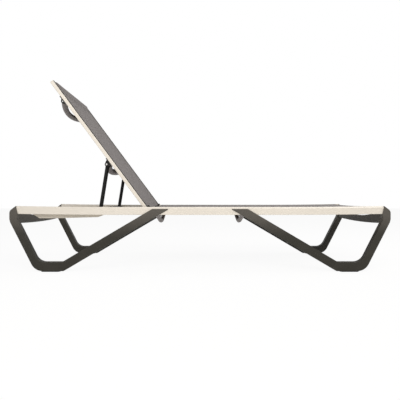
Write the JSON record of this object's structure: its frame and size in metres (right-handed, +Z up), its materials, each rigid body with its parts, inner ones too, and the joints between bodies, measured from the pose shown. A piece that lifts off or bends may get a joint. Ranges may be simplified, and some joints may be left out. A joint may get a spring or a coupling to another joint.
{
  "type": "sun lounger",
  "caption": "Stacking sun lounger with a taut sling seat and back on ivory rails, dark moulded leg loops, and a back that reclines on a prop.",
  "frame": {"origin": "on the ground under the middle of the side frame", "axes": "+X towards the foot end, +Y towards the sitter's left, +Z up"},
  "size_m": [1.939, 0.7, 0.9899],
  "materials": {
    "ivory_metal": "satin powder coat",
    "ivory_plastic": "satin",
    "taupe_plastic": "fine matt grain",
    "taupe_metal": "matt powder coat",
    "sling_fabric": "woven mesh",
    "steel": "plain",
    "dark_plastic": "matt",
    "rod_plastic": "matt",
    "glide_plastic": "matt",
    "roller_plastic": "satin",
    "black_metal": "satin powder coat"
  },
  "bodies": {
    "frame": {"crossbar_screws": "steel", "foot_crossbar": "taupe_plastic", "glide_foot_left": "glide_plastic", "glide_foot_right": "glide_plastic", "glide_head_left": "glide_plastic", "glide_head_right": "glide_plastic", "head_crossbar": "taupe_plastic", "hinge_bolt_left": "steel", "hinge_bolt_right": "steel", "hinge_boss_left": "dark_plastic", "hinge_boss_right": "dark_plastic", "leg_foot_left": "taupe_plastic", "leg_foot_right": "taupe_plastic", "leg_head_left": "taupe_plastic", "leg_head_right": "taupe_plastic", "leg_screws": "steel", "rack_left": "ivory_plastic", "rack_right": "ivory_plastic", "rack_screws": "steel", "seat_crossbar_foot": "taupe_metal", "seat_crossbar_head": "taupe_metal", "seat_crossbar_screws": "steel", "seat_sling": "sling_fabric", "seat_sling_rod_left": "rod_plastic", "seat_sling_rod_right": "rod_plastic", "side_rail_left": "ivory_metal", "side_rail_right": "ivory_metal"},
    "backrest": {"back_rail_cap_left": "ivory_plastic", "back_rail_cap_right": "ivory_plastic", "back_rail_left": "ivory_metal", "back_rail_right": "ivory_metal", "back_sling": "sling_fabric", "back_sling_rod_left": "rod_plastic", "back_sling_rod_right": "rod_plastic", "back_top_bar": "ivory_metal", "back_top_bar_plug_left": "dark_plastic", "back_top_bar_plug_right": "dark_plastic", "back_welt_left": "dark_plastic", "back_welt_right": "dark_plastic", "bracket_screws": "steel", "hinge_shoe_left": "dark_plastic", "hinge_shoe_right": "dark_plastic", "lower_bracket_left": "dark_plastic", "lower_bracket_right": "dark_plastic", "lower_crossbar": "taupe_metal", "pivot_screws": "steel", "upper_bracket_left": "dark_plastic", "upper_bracket_right": "dark_plastic", "upper_crossbar": "taupe_metal"},
    "prop": {"prop_arm_left": "black_metal", "prop_arm_right": "black_metal", "prop_foot_bar": "black_metal", "prop_foot_pin_left": "steel", "prop_foot_pin_right": "steel", "prop_foot_roller_left": "roller_plastic", "prop_foot_roller_right": "roller_plastic"}
  },
  "joints": [
    {"name": "backrest_hinge", "type": "hinge", "parent": "frame", "child": "backrest", "pos_m": [-0.2905, 0, 0.303], "axis": [0, -1, 0], "range_deg": [0, 53.4]},
    {"name": "prop_pivot", "type": "hinge", "parent": "backrest", "child": "prop", "pos_m": [-0.49332, 0, 0.55346], "axis": [0, -1, 0], "range_deg": [-137, 0]}
  ],
  "couplings": [
    {"joint": "prop_pivot", "follows": "backrest_hinge", "ratio": -2.5641}
  ]
}
